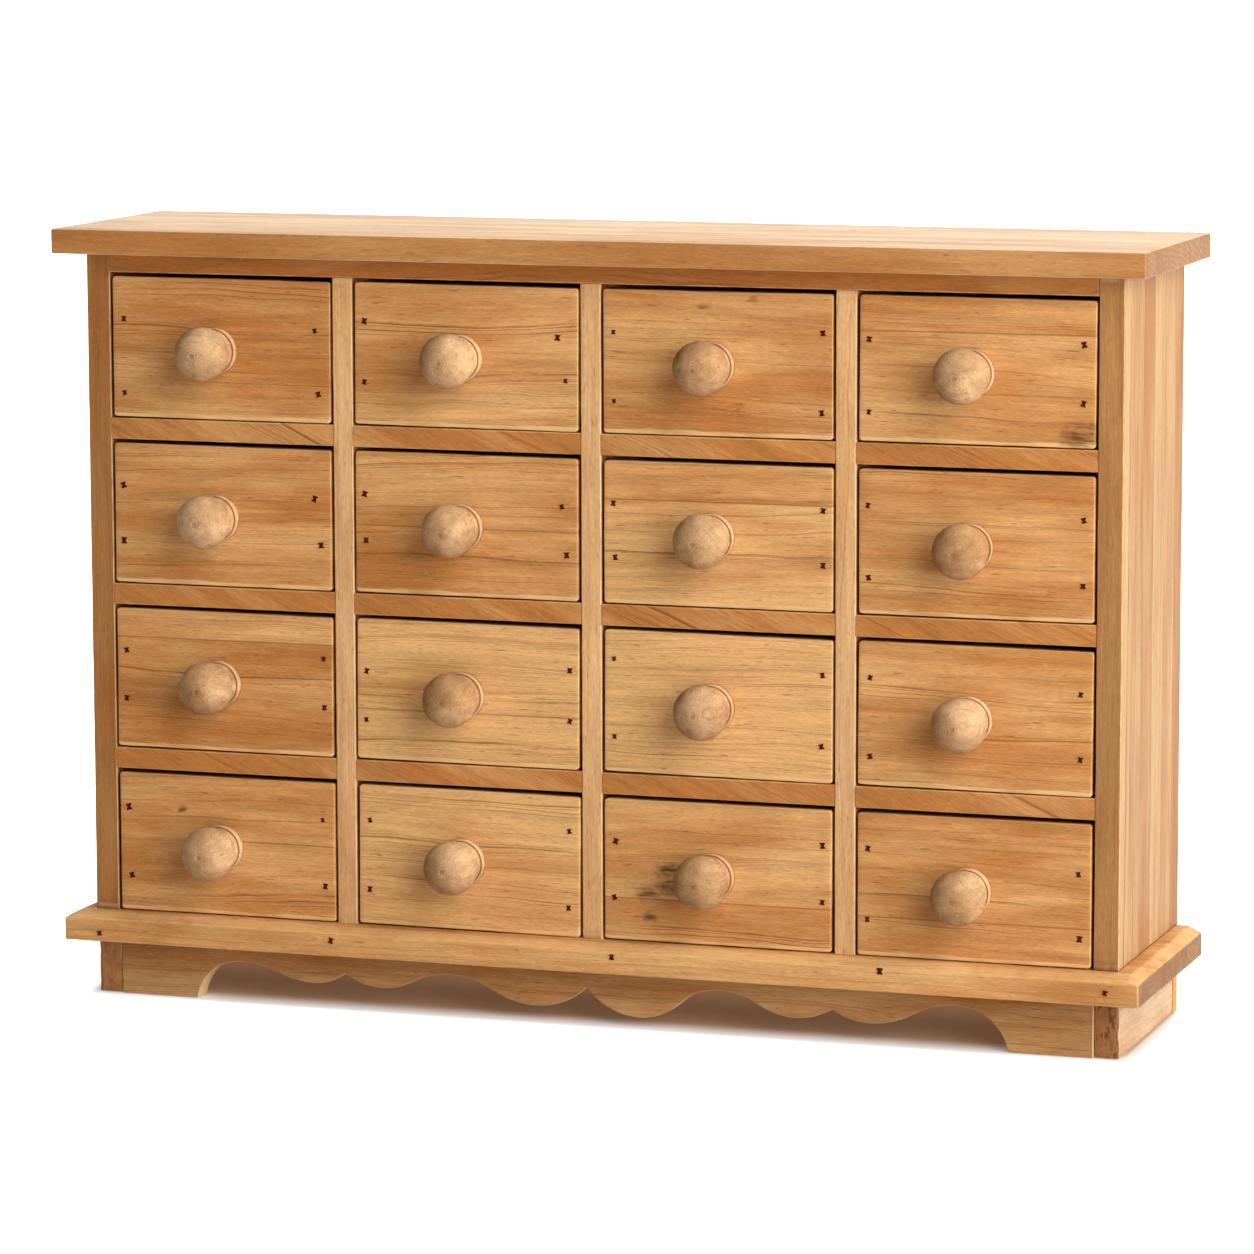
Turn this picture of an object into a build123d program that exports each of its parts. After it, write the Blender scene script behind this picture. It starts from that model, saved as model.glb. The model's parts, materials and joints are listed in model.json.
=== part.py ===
"""Mini drawer cabinet: a tabletop chest of small inset drawers with turned knobs on a scalloped plinth.

Millimetres. +Z is up, the drawers face -Y and +X is to the right of someone who faces them.
The origin is the middle of the overall box, knobs included, on the surface that the cabinet stands on.
Rows are counted from the top and columns from the left.
"""

from build123d import *
from math import acos, atan2, cos, hypot, pi, sin
import os

# Layout
column_count = 4
row_count = 4

# Carcass
carcass_width = 500.0
carcass_depth = 117.0
cell_height = 68.5
side_thickness = 12.0
divider_thickness = 10.0
shelf_thickness = 10.0
carcass_top_thickness = 9.0
back_thickness = 4.0
back_rebate_width = 6.0
frame_edge_radius = 0.8

# Top board
top_thickness = 12.0
top_side_overhang = 12.5
top_front_overhang = 13.0
top_edge_radius = 0.8

# Base board with its sloped top edge
base_thickness = 14.0
base_side_overhang = 12.0
base_front_overhang = 11.0
base_slope_run = 6.0
base_slope_rise = 3.0

# Plinth
plinth_height = 27.0
plinth_front_setback = 2.0
plinth_side_thickness = 12.0
plinth_back_thickness = 8.0
apron_thickness = 12.0

# Lower edge of the apron, cut by hand, from the right foot to the left one: distance from the middle as a
# share of half the apron's length, then height as a share of the plinth's height.
apron_right_foot_share = 0.832
apron_left_foot_share = -0.836
apron_curve_shares = (
    ("arch", 0.731, 0.75),
    ("lobe", 0.56, 0.34),
    ("notch", 0.483, 0.54),
    ("lobe", 0.41, 0.35),
    ("arch", 0.256, 0.74),
    ("lobe", 0.093, 0.17),
    ("notch", -0.015, 0.64),
    ("lobe", -0.12, 0.26),
    ("arch", -0.302, 0.71),
    ("lobe", -0.445, 0.39),
    ("notch", -0.52, 0.61),
    ("lobe", -0.584, 0.4),
    ("arch", -0.744, 0.7),
)

# Drawers
drawer_front_thickness = 10.0
drawer_front_corner_radius = 2.0
drawer_front_edge_radius = 1.2
drawer_wall_thickness = 8.0
drawer_wall_drop = 5.0
drawer_bottom_thickness = 3.0
front_side_gap = 1.2
front_top_gap = 2.0
front_bottom_gap = 0.8
box_inset = 1.5
drawer_rear_clearance = 0.5

# Knob, turned in one piece with the spigot that is glued into the drawer front
knob_left_of_middle = 3.0
knob_below_middle = 0.8
knob_ball_diameter = 26.0
knob_neck_diameter = 20.4
knob_neck_reach = 10.6
knob_groove_width = 0.7
knob_groove_depth = 0.9
knob_collar_diameter = 21.6
knob_collar_thickness = 4.7
knob_collar_radius = 1.2
knob_spigot_diameter = 10.0
spigot_radial_clearance = 0.1
spigot_end_clearance = 0.5
spigot_hole_backing = 2.0

# Reach of the knob in front of the drawer and of its spigot inside it
knob_ball_centre = knob_collar_thickness + knob_groove_width + knob_neck_reach
knob_projection = knob_ball_centre + knob_ball_diameter / 2
spigot_hole_depth = drawer_front_thickness - spigot_hole_backing
spigot_length = spigot_hole_depth - spigot_end_clearance

# Heights of the stacked boards
base_bottom = plinth_height
base_top = base_bottom + base_thickness
cells_top = base_top + row_count * cell_height + (row_count - 1) * shelf_thickness
carcass_height_top = cells_top + carcass_top_thickness
overall_height = carcass_height_top + top_thickness

# Places from front to back
overall_depth = knob_projection + carcass_depth
front_plane = knob_projection - overall_depth / 2
back_plane = front_plane + carcass_depth
back_panel_front = back_plane - back_thickness

# Places from left to right
carcass_right = carcass_width / 2
inner_right = carcass_right - side_thickness
cell_width = (2 * inner_right - (column_count - 1) * divider_thickness) / column_count

# Sizes of one drawer
front_width = cell_width - 2 * front_side_gap
front_height = cell_height - front_top_gap - front_bottom_gap
box_width = front_width - 2 * box_inset
box_rear = back_panel_front - drawer_rear_clearance


def board(x_span, y_span, z_span):
    """A squared board between two planes on each axis."""
    spans = (x_span, y_span, z_span)
    centre = [(low + high) / 2 for low, high in spans]
    size = [high - low for low, high in spans]
    return Pos(*centre) * Box(*size)


def ease_front_edges(piece, along):
    """Rounds the front edges that run along one axis."""
    return fillet(piece.edges().filter_by(along).group_by(Axis.Y)[0], frame_edge_radius)


def cell_left(column):
    """Left face of a column's cells."""
    return -inner_right + column * (cell_width + divider_thickness)


def cell_floor(row):
    """Surface that the drawers of a row slide on."""
    return base_top + (row_count - 1 - row) * (cell_height + shelf_thickness)


def top_board():
    """The overhanging top, flush with the carcass at the back."""
    half = carcass_right + top_side_overhang
    plank = board((-half, half), (front_plane - top_front_overhang, back_plane), (carcass_height_top, overall_height))
    return fillet(plank.faces().sort_by(Axis.Z)[-1].edges(), top_edge_radius)


def base_board():
    """The board under the carcass, sloped along the top of its front and its two ends."""
    half = carcass_right + base_side_overhang
    plank = board((-half, half), (front_plane - base_front_overhang, back_plane), (base_bottom, base_top))
    upper_face = plank.faces().sort_by(Axis.Z)[-1]
    shown = upper_face.edges().sort_by(Axis.Y)[:-1]
    return chamfer(shown, base_slope_run, base_slope_rise, reference=upper_face)


def side_panel(hand):
    """A side of the carcass with a rebate for the back panel; hand is -1 for the left and 1 for the right."""
    panel = board((inner_right, carcass_right), (front_plane, back_plane), (base_top, carcass_height_top))
    rebate = board(
        (inner_right, inner_right + back_rebate_width), (back_panel_front, back_plane), (base_top, carcass_height_top)
    )
    eased = ease_front_edges(panel - rebate, Axis.Z)
    return eased if hand > 0 else mirror(eased, about=Plane.YZ)


def carcass_top():
    """The board over the top row, between the sides and under the top board."""
    plank = board((-inner_right, inner_right), (front_plane, back_panel_front), (cells_top, carcass_height_top))
    return ease_front_edges(plank, Axis.X)


def dividers():
    """The upright boards between the columns."""
    pieces = []
    for column in range(1, column_count):
        right = cell_left(column)
        upright = board((right - divider_thickness, right), (front_plane, back_panel_front), (base_top, cells_top))
        pieces.append(ease_front_edges(upright, Axis.Z))
    return Compound(pieces)


def shelves():
    """The boards between the rows, one in each column."""
    pieces = []
    for row in range(row_count - 1):
        for column in range(column_count):
            left, top = cell_left(column), cell_floor(row)
            plank = board((left, left + cell_width), (front_plane, back_panel_front), (top - shelf_thickness, top))
            pieces.append(ease_front_edges(plank, Axis.X))
    return Compound(pieces)


def back_panel():
    """The thin sheet that closes the back, seated in the rebates of the sides."""
    half = inner_right + back_rebate_width
    return board((-half, half), (back_panel_front, back_plane), (base_top, carcass_height_top))


def plinth_front():
    """Front face of the plinth."""
    return front_plane + plinth_front_setback


def plinth_side(hand):
    """A side of the plinth, from the front of the apron to the back board."""
    inner, outer = carcass_right - plinth_side_thickness, carcass_right
    span = (inner, outer) if hand > 0 else (-outer, -inner)
    return board(span, (plinth_front(), back_plane - plinth_back_thickness), (0, plinth_height))


def plinth_back():
    """The plain board across the back of the plinth."""
    return board((-carcass_right, carcass_right), (back_plane - plinth_back_thickness, back_plane), (0, plinth_height))


def level_radius(start, end):
    """Radius of the arc that joins two points and is level at one of them."""
    run, rise = end[0] - start[0], end[1] - start[1]
    return (run**2 + rise**2) / abs(2 * rise)


def ogee(start, end):
    """Two tangent arcs that run leftwards between an arch and a lobe, level at both ends."""
    middle = ((start[0] + end[0]) / 2, (start[1] + end[1]) / 2)
    radius = level_radius(start, middle)
    turn = 1 if end[1] > start[1] else -1
    return [RadiusArc(start, middle, turn * radius), RadiusArc(middle, end, -turn * radius)]


def scallop(start, end):
    """One arc that runs leftwards between a lobe, where it is level, and a pointed notch."""
    return [RadiusArc(start, end, level_radius(start, end))]


def front_apron():
    """The scalloped board between the sides of the plinth."""
    half = carcass_right - plinth_side_thickness
    right_foot = (apron_right_foot_share * half, 0)
    left_foot = (apron_left_foot_share * half, 0)
    curve = [(kind, (along * half, up * plinth_height)) for kind, along, up in apron_curve_shares]
    first_arch, last_arch = curve[0][1], curve[-1][1]
    lines = [
        Line((-half, plinth_height), (half, plinth_height)),
        Line((half, plinth_height), (half, 0)),
        Line((half, 0), right_foot),
        RadiusArc(right_foot, first_arch, -level_radius(right_foot, first_arch)),
    ]
    for (kind, start), (next_kind, end) in zip(curve, curve[1:]):
        lines += scallop(start, end) if "notch" in (kind, next_kind) else ogee(start, end)
    lines += [
        RadiusArc(last_arch, left_foot, -level_radius(last_arch, left_foot)),
        Line(left_foot, (-half, 0)),
        Line((-half, 0), (-half, plinth_height)),
    ]
    outline = make_face(Curve() + lines)
    face_plane = Plane(origin=(0, plinth_front(), 0), x_dir=(1, 0, 0), z_dir=(0, -1, 0))
    return extrude(face_plane * outline, -apron_thickness)


def front_centre(row, column):
    """Middle of a drawer front, on its outer face."""
    middle = cell_left(column) + cell_width / 2
    return (middle, front_plane, cell_floor(row) + front_bottom_gap + front_height / 2)


def knob_centre(row, column):
    """Middle of a knob's collar, on the outer face of its drawer front."""
    x, y, z = front_centre(row, column)
    return (x - knob_left_of_middle, y, z - knob_below_middle)


def drawer_front(row, column):
    """A drawer front with rounded corners, eased edges and a blind hole for the knob's spigot."""
    x, y, z = front_centre(row, column)
    slab = board(
        (x - front_width / 2, x + front_width / 2),
        (y, y + drawer_front_thickness),
        (z - front_height / 2, z + front_height / 2),
    )
    slab = fillet(slab.edges().filter_by(Axis.Y), drawer_front_corner_radius)
    slab = fillet(slab.faces().sort_by(Axis.Y)[0].edges(), drawer_front_edge_radius)
    hole_radius = knob_spigot_diameter / 2 + spigot_radial_clearance
    hole = Cylinder(hole_radius, spigot_hole_depth, align=(Align.CENTER, Align.CENTER, Align.MAX))
    return slab - Pos(*knob_centre(row, column)) * Rot(X=90) * hole


def drawer_box(row, column):
    """Two sides, a back and the bottom that they stand on, behind the drawer front."""
    x, y, z = front_centre(row, column)
    floor = cell_floor(row)
    left, right = x - box_width / 2, x + box_width / 2
    box_front = y + drawer_front_thickness
    walls = (floor + drawer_bottom_thickness, z + front_height / 2 - drawer_wall_drop)
    bottom = board((left, right), (box_front, box_rear), (floor, floor + drawer_bottom_thickness))
    left_side = board((left, left + drawer_wall_thickness), (box_front, box_rear), walls)
    right_side = board((right - drawer_wall_thickness, right), (box_front, box_rear), walls)
    back = board(
        (left + drawer_wall_thickness, right - drawer_wall_thickness),
        (box_rear - drawer_wall_thickness, box_rear),
        walls,
    )
    return Compound([bottom, left_side, right_side, back])


def turned_knob():
    """A ball, a tapered neck, a groove, a collar and the spigot, along +Z from the face that it sits on."""
    ball_radius = knob_ball_diameter / 2
    neck_radius = knob_neck_diameter / 2
    groove_radius = neck_radius - knob_groove_depth
    collar_radius = knob_collar_diameter / 2
    spigot_radius = knob_spigot_diameter / 2
    neck_start = knob_collar_thickness + knob_groove_width

    # The neck is a cone that runs into the ball without a crease.
    distance = hypot(neck_radius, knob_neck_reach)
    tangent_angle = acos(ball_radius / distance) - atan2(knob_neck_reach, neck_radius)
    neck_end = (ball_radius * cos(tangent_angle), knob_ball_centre + ball_radius * sin(tangent_angle))
    halfway = (tangent_angle + pi / 2) / 2
    ball_middle = (ball_radius * cos(halfway), knob_ball_centre + ball_radius * sin(halfway))

    outline = Polyline(
        (0, knob_projection),
        (0, -spigot_length),
        (spigot_radius, -spigot_length),
        (spigot_radius, 0),
        (collar_radius, 0),
        (collar_radius, knob_collar_thickness - knob_collar_radius),
    )
    collar_edge = RadiusArc(
        outline @ 1, (collar_radius - knob_collar_radius, knob_collar_thickness), -knob_collar_radius
    )
    neck = Polyline(
        collar_edge @ 1,
        (groove_radius, knob_collar_thickness),
        (groove_radius, neck_start),
        (neck_radius, neck_start),
        neck_end,
    )
    ball = ThreePointArc(neck_end, ball_middle, (0, knob_projection))
    face = make_face(outline + collar_edge + neck + ball)
    return revolve(Plane.XZ * face, Axis.Z)


def knob(row, column):
    """The turned knob in its place on a drawer front, pointing forwards."""
    return Pos(*knob_centre(row, column)) * Rot(X=90) * turned_knob()


def named_pieces():
    """Every node's name with its solid or its group of solids."""
    pieces = {
        "top_board": top_board(),
        "left_side": side_panel(-1),
        "right_side": side_panel(1),
        "carcass_top": carcass_top(),
        "dividers": dividers(),
        "shelves": shelves(),
        "back_panel": back_panel(),
        "base_board": base_board(),
        "front_apron": front_apron(),
        "left_plinth": plinth_side(-1),
        "right_plinth": plinth_side(1),
        "back_plinth": plinth_back(),
    }
    for row in range(row_count):
        for column in range(column_count):
            place = f"r{row + 1}_c{column + 1}"
            pieces[f"drawer_front_{place}"] = drawer_front(row, column)
            pieces[f"drawer_box_{place}"] = drawer_box(row, column)
            pieces[f"knob_{place}"] = knob(row, column)
    return pieces


def main():
    """Writes one STEP file for each node."""
    os.makedirs("parts", exist_ok=True)
    for name, piece in named_pieces().items():
        export_step(piece, f"parts/{name}.step")


if __name__ == "__main__":
    main()
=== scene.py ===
import bpy
import json
import math
import random
from mathutils import Euler, Matrix, Vector

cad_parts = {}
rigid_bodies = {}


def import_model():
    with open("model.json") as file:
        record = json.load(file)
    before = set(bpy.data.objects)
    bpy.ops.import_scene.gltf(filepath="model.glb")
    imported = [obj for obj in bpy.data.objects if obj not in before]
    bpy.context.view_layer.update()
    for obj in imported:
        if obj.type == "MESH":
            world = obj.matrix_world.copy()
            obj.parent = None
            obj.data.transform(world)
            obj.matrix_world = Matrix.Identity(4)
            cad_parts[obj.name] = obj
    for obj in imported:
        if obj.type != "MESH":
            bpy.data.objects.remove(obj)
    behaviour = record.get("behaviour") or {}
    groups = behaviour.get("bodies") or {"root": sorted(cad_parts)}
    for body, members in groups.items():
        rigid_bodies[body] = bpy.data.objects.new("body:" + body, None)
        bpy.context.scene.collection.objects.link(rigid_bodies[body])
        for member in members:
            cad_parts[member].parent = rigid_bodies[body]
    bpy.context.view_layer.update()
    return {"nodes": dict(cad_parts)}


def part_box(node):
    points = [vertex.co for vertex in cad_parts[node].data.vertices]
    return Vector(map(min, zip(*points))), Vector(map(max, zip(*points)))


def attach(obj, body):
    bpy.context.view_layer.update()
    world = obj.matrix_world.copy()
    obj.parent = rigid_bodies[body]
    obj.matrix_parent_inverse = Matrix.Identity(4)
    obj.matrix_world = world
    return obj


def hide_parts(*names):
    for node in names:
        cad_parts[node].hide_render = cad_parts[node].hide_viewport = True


for leftover in list(bpy.data.objects):
    bpy.data.objects.remove(leftover, do_unlink=True)
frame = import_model()
mm = 0.001
rowCount = 4
columnCount = 4
places = [(row, column) for row in range(1, rowCount + 1) for column in range(1, columnCount + 1)]
carcassBody = "carcass"
print("frame loaded:", len(frame["nodes"]), "nodes")


def nameOf(place):
    return "r%d_c%d" % place


def boxOf(node):
    low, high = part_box(node)
    return Vector(low), Vector(high)


frontPlane = boxOf("dividers")[0].y
knobStep = boxOf("knob_r1_c2")[0].x - boxOf("knob_r1_c1")[0].x  # from knob to knob, across and down
knobDrop = boxOf("knob_r1_c1")[0].z - boxOf("knob_r2_c1")[0].z


def fromScreen(red, green, blue):
    # a colour as read off a screen, made linear
    def straight(value):
        value /= 255
        return value / 12.92 if value <= 0.04045 else ((value + 0.055) / 1.055) ** 2.4
    return (straight(red), straight(green), straight(blue), 1.0)


def addNode(tree, kind, **settings):
    made = tree.nodes.new(kind)
    for key, value in settings.items():
        setattr(made, key, value)
    return made


def feed(tree, socket, value):
    # links a socket, or sets a plain value on it
    if isinstance(value, bpy.types.NodeSocket):
        tree.links.new(value, socket)
    elif value is not None:
        socket.default_value = value


def calc(tree, operation, first, second=None, third=None):
    made = addNode(tree, "ShaderNodeMath", operation=operation)
    for socket, value in zip(made.inputs, (first, second, third)):
        feed(tree, socket, value)
    return made.outputs[0]


def times(tree, first, second):
    return calc(tree, "MULTIPLY", first, second)


def eitherSide(tree, value, reach):
    # turns 0 to 1 into half the reach to either side of nothing
    return calc(tree, "MULTIPLY_ADD", value, reach, -reach / 2)


def calcVector(tree, operation, first, second=None, third=None):
    made = addNode(tree, "ShaderNodeVectorMath", operation=operation)
    for socket, value in zip(made.inputs, (first, second, third)):
        feed(tree, socket, value)
    return made.outputs["Value"] if operation == "LENGTH" else made.outputs["Vector"]


def split(tree, vector):
    made = addNode(tree, "ShaderNodeSeparateXYZ")
    feed(tree, made.inputs[0], vector)
    return made.outputs


def ramp(tree, value, low, high, start=0.0, end=1.0, soft=True):
    made = addNode(tree, "ShaderNodeMapRange", interpolation_type="SMOOTHSTEP" if soft else "LINEAR")
    settings = {"Value": value, "From Min": low, "From Max": high, "To Min": start, "To Max": end}
    for key, setting in settings.items():
        feed(tree, made.inputs[key], setting)
    return made.outputs["Result"]


def cloud(tree, vector, factors, detail, rough=0.5):
    made = addNode(tree, "ShaderNodeTexNoise", noise_dimensions="3D")
    feed(tree, made.inputs["Vector"], calcVector(tree, "MULTIPLY", vector, factors))
    made.inputs["Scale"].default_value = 1.0
    made.inputs["Detail"].default_value = detail
    made.inputs["Roughness"].default_value = rough
    return made.outputs["Fac"]


def blendColour(tree, factor, first, second, how="MIX"):
    made = addNode(tree, "ShaderNodeMix", data_type="RGBA", blend_type=how)
    feed(tree, made.inputs[0], factor)
    feed(tree, made.inputs[6], first)
    feed(tree, made.inputs[7], second)
    return made.outputs[2]


def newGroup(name, takes, gives):
    tree = bpy.data.node_groups.new(name, "ShaderNodeTree")
    for label, kind in takes.items():
        tree.interface.new_socket(name=label, in_out="INPUT", socket_type=kind)
    for label, kind in gives.items():
        tree.interface.new_socket(name=label, in_out="OUTPUT", socket_type=kind)
    return tree, addNode(tree, "NodeGroupInput").outputs, addNode(tree, "NodeGroupOutput").inputs


def placeGroup(tree, group, **values):
    made = addNode(tree, "ShaderNodeGroup", node_tree=group)
    for key, value in values.items():
        feed(tree, made.inputs[key], value)
    return made.outputs


number, direction, tint = "NodeSocketFloat", "NodeSocketVector", "NodeSocketColor"
cloudSpan = (0.3, 0.7)  # where most of a cloud's values lie

# softwood: a cloud has its factors per metre along and across the log, its detail and its roughness
figureMake = dict(warpCloud=((7, 34, 34), 3.0), warp=13 * mm, unevenBeat=110.0, unevenDetail=1.0,
                  uneven=9 * mm, lateWood=(0.76, 0.95), wideWood=(0.15, 0.94), wideShare=0.3,
                  ringEnd=0.95, faintRing=0.12,
                  breakCloud=((14, 210, 210), 3.0, 0.55), lineBreak=(0.36, 0.6, 0.2, 1.0),
                  blotchCloud=((9, 46, 46), 4.0, 0.6), blotch=0.42,
                  bandCloud=((13, 230, 230), 3.0, 0.55), band=(0.88, 1.1),
                  streakCloud=((55, 1000, 1000), 3.0, 0.6), streak=(0.9, 1.08),
                  poreCloud=((330, 1900, 1900), 2.0, 0.6), pore=(0.85, 1.1),
                  dashCloud=((130, 1250, 1250), 1.0), dash=(0.67, 0.77, 0.0, 0.5),
                  dashTint=(0.6, 0.52, 0.45, 1.0),
                  glintCloud=((190, 1500, 1500), 1.0), glint=(0.66, 0.76, 0.0, 0.35),
                  roughness=(0.25, 0.75, 0.52, 0.68), lineHeight=0.5, poreHeight=0.5, dashHeight=-0.8)


def makeFigureGroup():
    # growth rings, fibres, pores and short dashes of a softwood whose log lies along X
    make = figureMake
    tree, into, out = newGroup(
        "softwoodFigure",
        dict(Vector=direction, Tone=number, RingSpacing=number, LineStrength=number,
             Pale=tint, Warm=tint, Late=tint),
        dict(Color=tint, Roughness=number, Height=number))
    vector = into["Vector"]
    warp = eitherSide(tree, cloud(tree, vector, *make["warpCloud"]), make["warp"])
    fromHeart = calcVector(tree, "LENGTH", calcVector(tree, "MULTIPLY", vector, (0, 1, 1)))
    radius = calc(tree, "ADD", fromHeart, warp)
    uneven = addNode(tree, "ShaderNodeTexNoise", noise_dimensions="1D")
    feed(tree, uneven.inputs["W"], times(tree, radius, make["unevenBeat"]))
    uneven.inputs["Detail"].default_value = make["unevenDetail"]
    radius = calc(tree, "ADD", radius, eitherSide(tree, uneven.outputs["Fac"], make["uneven"]))
    phase = calc(tree, "DIVIDE", radius, into["RingSpacing"])
    ring = addNode(tree, "ShaderNodeTexWhiteNoise", noise_dimensions="1D")
    feed(tree, ring.inputs["W"], calc(tree, "FLOOR", phase))
    part = calc(tree, "FRACT", phase)
    fade = ramp(tree, part, make["ringEnd"], 1.0, 1.0, 0.0)
    late = times(tree, ramp(tree, part, *make["lateWood"]), fade)
    wide = times(tree, ramp(tree, part, *make["wideWood"]), fade)
    late = calc(tree, "MULTIPLY_ADD", wide, make["wideShare"], late)
    along = ramp(tree, cloud(tree, vector, *make["breakCloud"]), *make["lineBreak"])
    weight = ramp(tree, ring.outputs["Value"], 0.0, 1.0, make["faintRing"], 1.0, False)
    line = times(tree, times(tree, times(tree, late, along), weight), into["LineStrength"])
    blotch = cloud(tree, vector, *make["blotchCloud"])
    blotch = ramp(tree, blotch, *cloudSpan, -make["blotch"], make["blotch"])
    tone = calc(tree, "ADD", into["Tone"], blotch)
    tone.node.use_clamp = True
    band = cloud(tree, vector, *make["bandCloud"])
    streak = cloud(tree, vector, *make["streakCloud"])
    pores = cloud(tree, vector, *make["poreCloud"])
    shade = ramp(tree, band, *cloudSpan, *make["band"], False)
    shade = times(tree, shade, ramp(tree, streak, *cloudSpan, *make["streak"], False))
    shade = times(tree, shade, ramp(tree, pores, *cloudSpan, *make["pore"], False))
    base = blendColour(tree, tone, into["Pale"], into["Warm"])
    base = blendColour(tree, 1.0, base, shade, "MULTIPLY")
    base = blendColour(tree, line, base, into["Late"])
    dash = ramp(tree, cloud(tree, vector, *make["dashCloud"]), *make["dash"])
    deep = blendColour(tree, 1.0, into["Late"], make["dashTint"], "MULTIPLY")
    base = blendColour(tree, dash, base, deep)
    glint = ramp(tree, cloud(tree, vector, *make["glintCloud"]), *make["glint"])
    feed(tree, out["Color"], blendColour(tree, glint, base, into["Pale"]))
    feed(tree, out["Roughness"], ramp(tree, streak, *make["roughness"], False))
    height = calc(tree, "MULTIPLY_ADD", line, make["lineHeight"], times(tree, pores, make["poreHeight"]))
    feed(tree, out["Height"], calc(tree, "MULTIPLY_ADD", dash, make["dashHeight"], height))
    return tree


stripMake = dict(logShift=(2.0, 0.4, 0.3), seam=(0.1 * mm, 0.5 * mm))


def makeStripGroup():
    # boards glued edge to edge along Y: each has its own place in the log and its own tone
    tree, into, out = newGroup(
        "gluedStrips",
        dict(Vector=direction, Width=number, Spread=number, Beat=number),
        dict(Vector=direction, Tone=number, Seam=number))
    count = calc(tree, "DIVIDE", split(tree, into["Vector"])["Y"], into["Width"])
    index = calc(tree, "FLOOR", count)
    chance = addNode(tree, "ShaderNodeTexWhiteNoise", noise_dimensions="1D")
    feed(tree, chance.inputs["W"], index)
    moved = calcVector(tree, "MULTIPLY", chance.outputs["Color"], stripMake["logShift"])
    feed(tree, out["Vector"], calcVector(tree, "ADD", into["Vector"], moved))
    swing = calc(tree, "SINE", times(tree, index, into["Beat"]))
    feed(tree, out["Tone"], times(tree, swing, into["Spread"]))
    inside = times(tree, calc(tree, "PINGPONG", count, 0.5), into["Width"])
    feed(tree, out["Seam"], ramp(tree, inside, *stripMake["seam"], 1.0, 0.0))
    return tree


# drawer fronts: the upper board's place in the log, the glue line, and the rubbed strip along the foot
frontBoardMake = dict(logShift=dict(X=0.83, Y=0.047, Z=0.029), seam=(0.1 * mm, 0.6 * mm),
                      raggedCloud=((26, 700, 700), 4.0), ragged=1.2 * mm, foot=(1.4 * mm, 2.3 * mm),
                      brokenCloud=((34, 90, 90), 3.0), broken=(0.36, 0.56, 0.45, 1.0))


def makeFrontGroup():
    # a drawer front of one or two boards, rubbed pale along its foot
    make = frontBoardMake
    tree, into, out = newGroup(
        "drawerFrontBoards",
        dict(Vector=direction, Joint=number, UpperTone=number, LowerTone=number,
             HalfHeight=number),
        dict(Vector=direction, Tone=number, Seam=number, Foot=number))
    vector = into["Vector"]
    up = split(tree, vector)["Y"]
    upper = calc(tree, "GREATER_THAN", up, into["Joint"])
    moved = addNode(tree, "ShaderNodeCombineXYZ")
    for key, amount in make["logShift"].items():
        feed(tree, moved.inputs[key], times(tree, upper, amount))
    feed(tree, out["Vector"], calcVector(tree, "ADD", vector, moved.outputs[0]))
    rise = calc(tree, "SUBTRACT", into["UpperTone"], into["LowerTone"])
    feed(tree, out["Tone"], calc(tree, "MULTIPLY_ADD", rise, upper, into["LowerTone"]))
    off = calc(tree, "ABSOLUTE", calc(tree, "SUBTRACT", up, into["Joint"]))
    feed(tree, out["Seam"], ramp(tree, off, *make["seam"], 1.0, 0.0))
    ragged = cloud(tree, vector, *make["raggedCloud"])
    ragged = ramp(tree, ragged, *cloudSpan, -make["ragged"], make["ragged"], False)
    rubbed = calc(tree, "ADD", calc(tree, "ADD", up, into["HalfHeight"]), ragged)
    broken = ramp(tree, cloud(tree, vector, *make["brokenCloud"]), *make["broken"])
    feed(tree, out["Foot"], times(tree, ramp(tree, rubbed, *make["foot"], 1.0, 0.0), broken))
    return tree


# faces: parts of the normal between which each mask goes from 0 to 1
faceMake = dict(patchCloud=((110, 110, 110), 3.0), patch=(0.35, 0.6, 0.3, 1.0), arris=(0.985, 0.86),
                front=(-0.45, -0.85), sideways=(0.6, 0.9), cut=(0.7, 0.3))


def makeFaceGroup():
    # arrises that hands have rubbed, in patches and as a painted highlight, and the faces by the way they
    # look
    make = faceMake
    tree, into, out = newGroup(
        "boardFaces", dict(Vector=direction),
        dict(ArrisWearAndHighlight=number, Front=number, Sideways=number, Cut=number))
    surface = addNode(tree, "ShaderNodeNewGeometry")
    facing = split(tree, surface.outputs["Normal"])
    bare = split(tree, calcVector(tree, "ABSOLUTE", surface.outputs["Normal"]))
    most = calc(tree, "MAXIMUM", calc(tree, "MAXIMUM", bare["X"], bare["Y"]), bare["Z"])
    patch = ramp(tree, cloud(tree, into["Vector"], *make["patchCloud"]), *make["patch"])
    feed(tree, out["ArrisWearAndHighlight"], times(tree, ramp(tree, most, *make["arris"]), patch))
    feed(tree, out["Front"], ramp(tree, facing["Y"], *make["front"]))
    feed(tree, out["Sideways"], ramp(tree, bare["X"], *make["sideways"]))
    feed(tree, out["Cut"], ramp(tree, bare["Y"], *make["cut"]))
    return tree


# painted shade in the gaps: its start behind the front plane, its depth, and how far from the middle it is
# found
gapShadeMake = dict(cloud=((140, 140, 140), 2.0), patch=(0.7, 1.0), start=(0.6 * mm, 2.2 * mm),
                 depth=9 * mm, fade=1.8, halfWidth=245 * mm, strength=0.75)


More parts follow.
